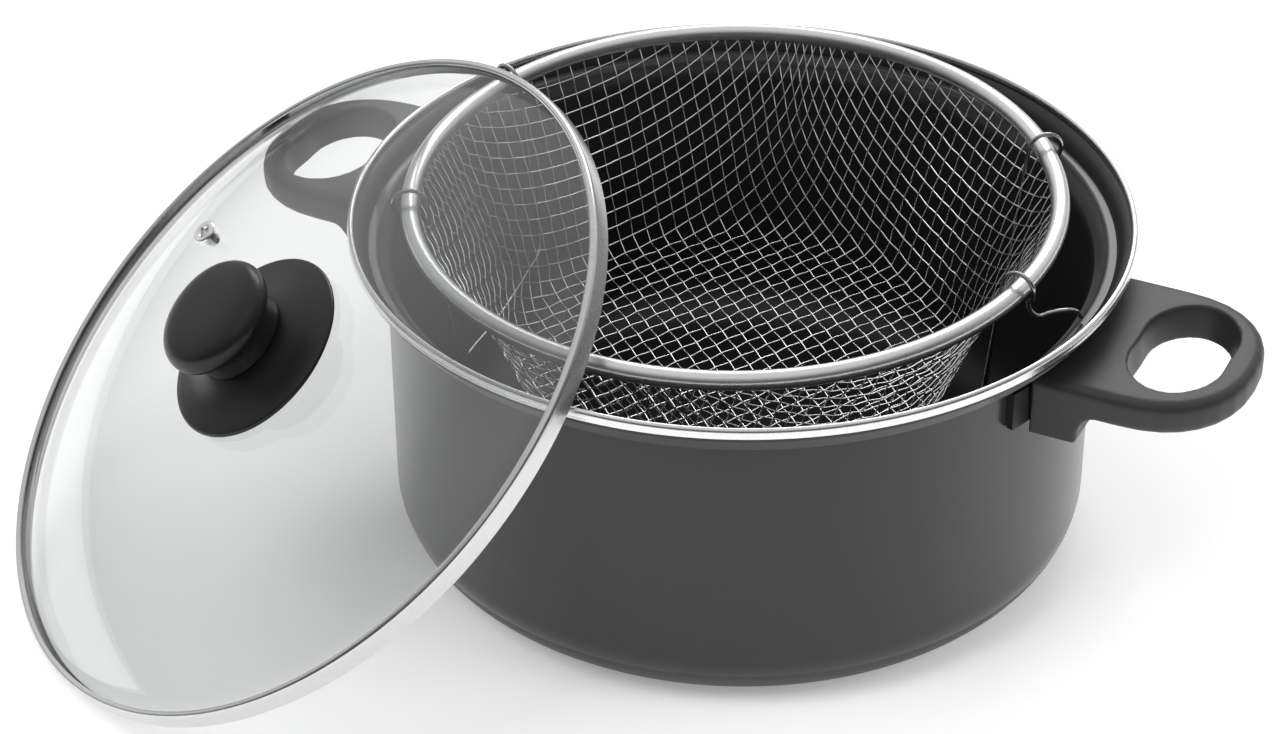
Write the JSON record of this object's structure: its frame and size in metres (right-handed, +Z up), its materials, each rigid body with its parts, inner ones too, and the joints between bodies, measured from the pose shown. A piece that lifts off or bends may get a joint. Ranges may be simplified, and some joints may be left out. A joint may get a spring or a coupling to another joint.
{
  "type": "deep fry pot with basket",
  "caption": "Deep two-handled frying pot with a wire basket on folding wire handles seated in its mouth, and a domed glass lid leaning against its rim.",
  "frame": {"origin": "centre of the pot's base, on the surface that it stands on", "axes": "+Z up along the pot's axis; +Y away from the side that is seen in the picture; +X towards the right-hand side of the picture"},
  "size_m": [0.3973, 0.2842, 0.1563],
  "materials": {
    "pot_shell": "satin dark coating",
    "stainless": "polished",
    "moulded": "fine satin",
    "bracket_steel": "dark satin",
    "plated_screws": "plated",
    "wire_mesh": "bright wire",
    "lid_glass": "clear",
    "gasket_rubber": "matt",
    "insert_brass": "plain"
  },
  "bodies": {
    "pot": {"pot_body": "pot_shell", "rim_trim": "stainless", "handle_right": "moulded", "handle_left": "moulded", "handle_bracket_right": "bracket_steel", "handle_bracket_left": "bracket_steel", "handle_screw_right": "plated_screws", "handle_screw_left": "plated_screws"},
    "basket": {"basket_mesh": "wire_mesh", "basket_rim": "stainless"},
    "bail_right": {"basket_bail_right": "stainless"},
    "bail_left": {"basket_bail_left": "stainless"},
    "lid": {"lid_glass": "lid_glass", "lid_band": "stainless", "vent_eyelet": "stainless", "knob_gasket": "gasket_rubber", "knob_skirt": "moulded", "knob_grip": "moulded", "knob_insert": "insert_brass", "knob_washer": "plated_screws", "knob_screw": "plated_screws"}
  },
  "joints": [
    {"name": "basket_lift", "type": "slide", "parent": "pot", "child": "basket", "axis": [0, 0, 1], "range_m": [0, 0.14]},
    {"name": "lid_lift", "type": "slide", "parent": "basket", "child": "lid", "axis": [0, 0, 1], "range_m": [0, 0.17]},
    {"name": "bail_swing_right", "type": "hinge", "parent": "basket", "child": "bail_right", "pos_m": [0.09033, -0.01878, 0.1202], "axis": [-0.1992, -0.9796, -0.0284], "range_deg": [0, 16]},
    {"name": "bail_swing_left", "type": "hinge", "parent": "basket", "child": "bail_left", "pos_m": [-0.09093, 0.03356, 0.11904], "axis": [0.3533, 0.9351, 0.0294], "range_deg": [0, 16]}
  ]
}
